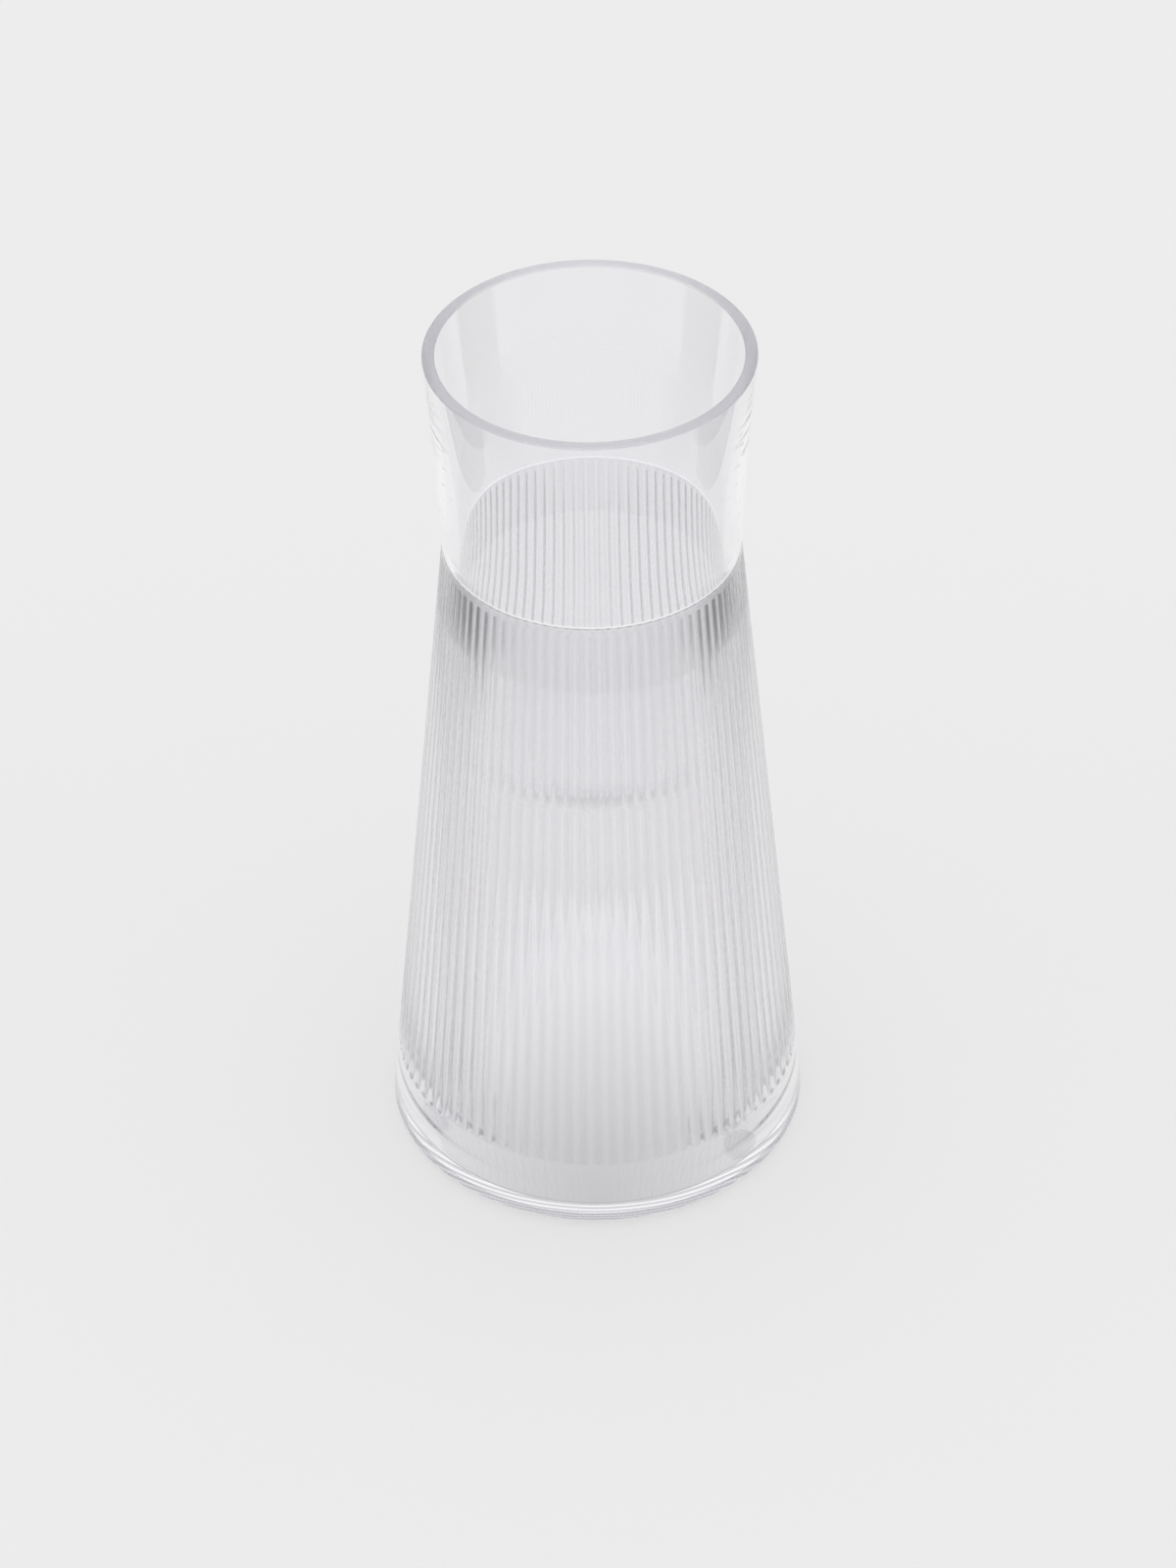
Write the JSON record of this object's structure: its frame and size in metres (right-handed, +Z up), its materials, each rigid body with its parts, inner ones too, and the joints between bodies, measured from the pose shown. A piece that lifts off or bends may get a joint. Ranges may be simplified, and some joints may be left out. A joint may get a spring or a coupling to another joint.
{
  "type": "crystal carafe with tumbler",
  "caption": "Conical cut-crystal water carafe with fine vertical flutes, clear bumper pads and a flared tumbler that nests in its mouth and lifts off to drink from.",
  "frame": {"origin": "on the table, under the middle of the base", "axes": "+Z up along the carafe's axis, -Y towards the viewer of the picture, where one flute is centred"},
  "size_m": [0.0966, 0.0966, 0.21],
  "materials": {
    "carafe_crystal": "clear crystal, flutes cut and polished",
    "tumbler_crystal": "clear polished crystal with a satin-ground rim",
    "clear_bumper": "clear soft resin"
  },
  "bodies": {
    "carafe": {"carafe_body": "carafe_crystal", "bumper_pad_1": "clear_bumper", "bumper_pad_2": "clear_bumper", "bumper_pad_3": "clear_bumper"},
    "tumbler": {"tumbler": "tumbler_crystal"}
  },
  "joints": [
    {"name": "tumbler_lift", "type": "slide", "parent": "carafe", "child": "tumbler", "axis": [0, 0, 1], "range_m": [0, 0.11]}
  ]
}
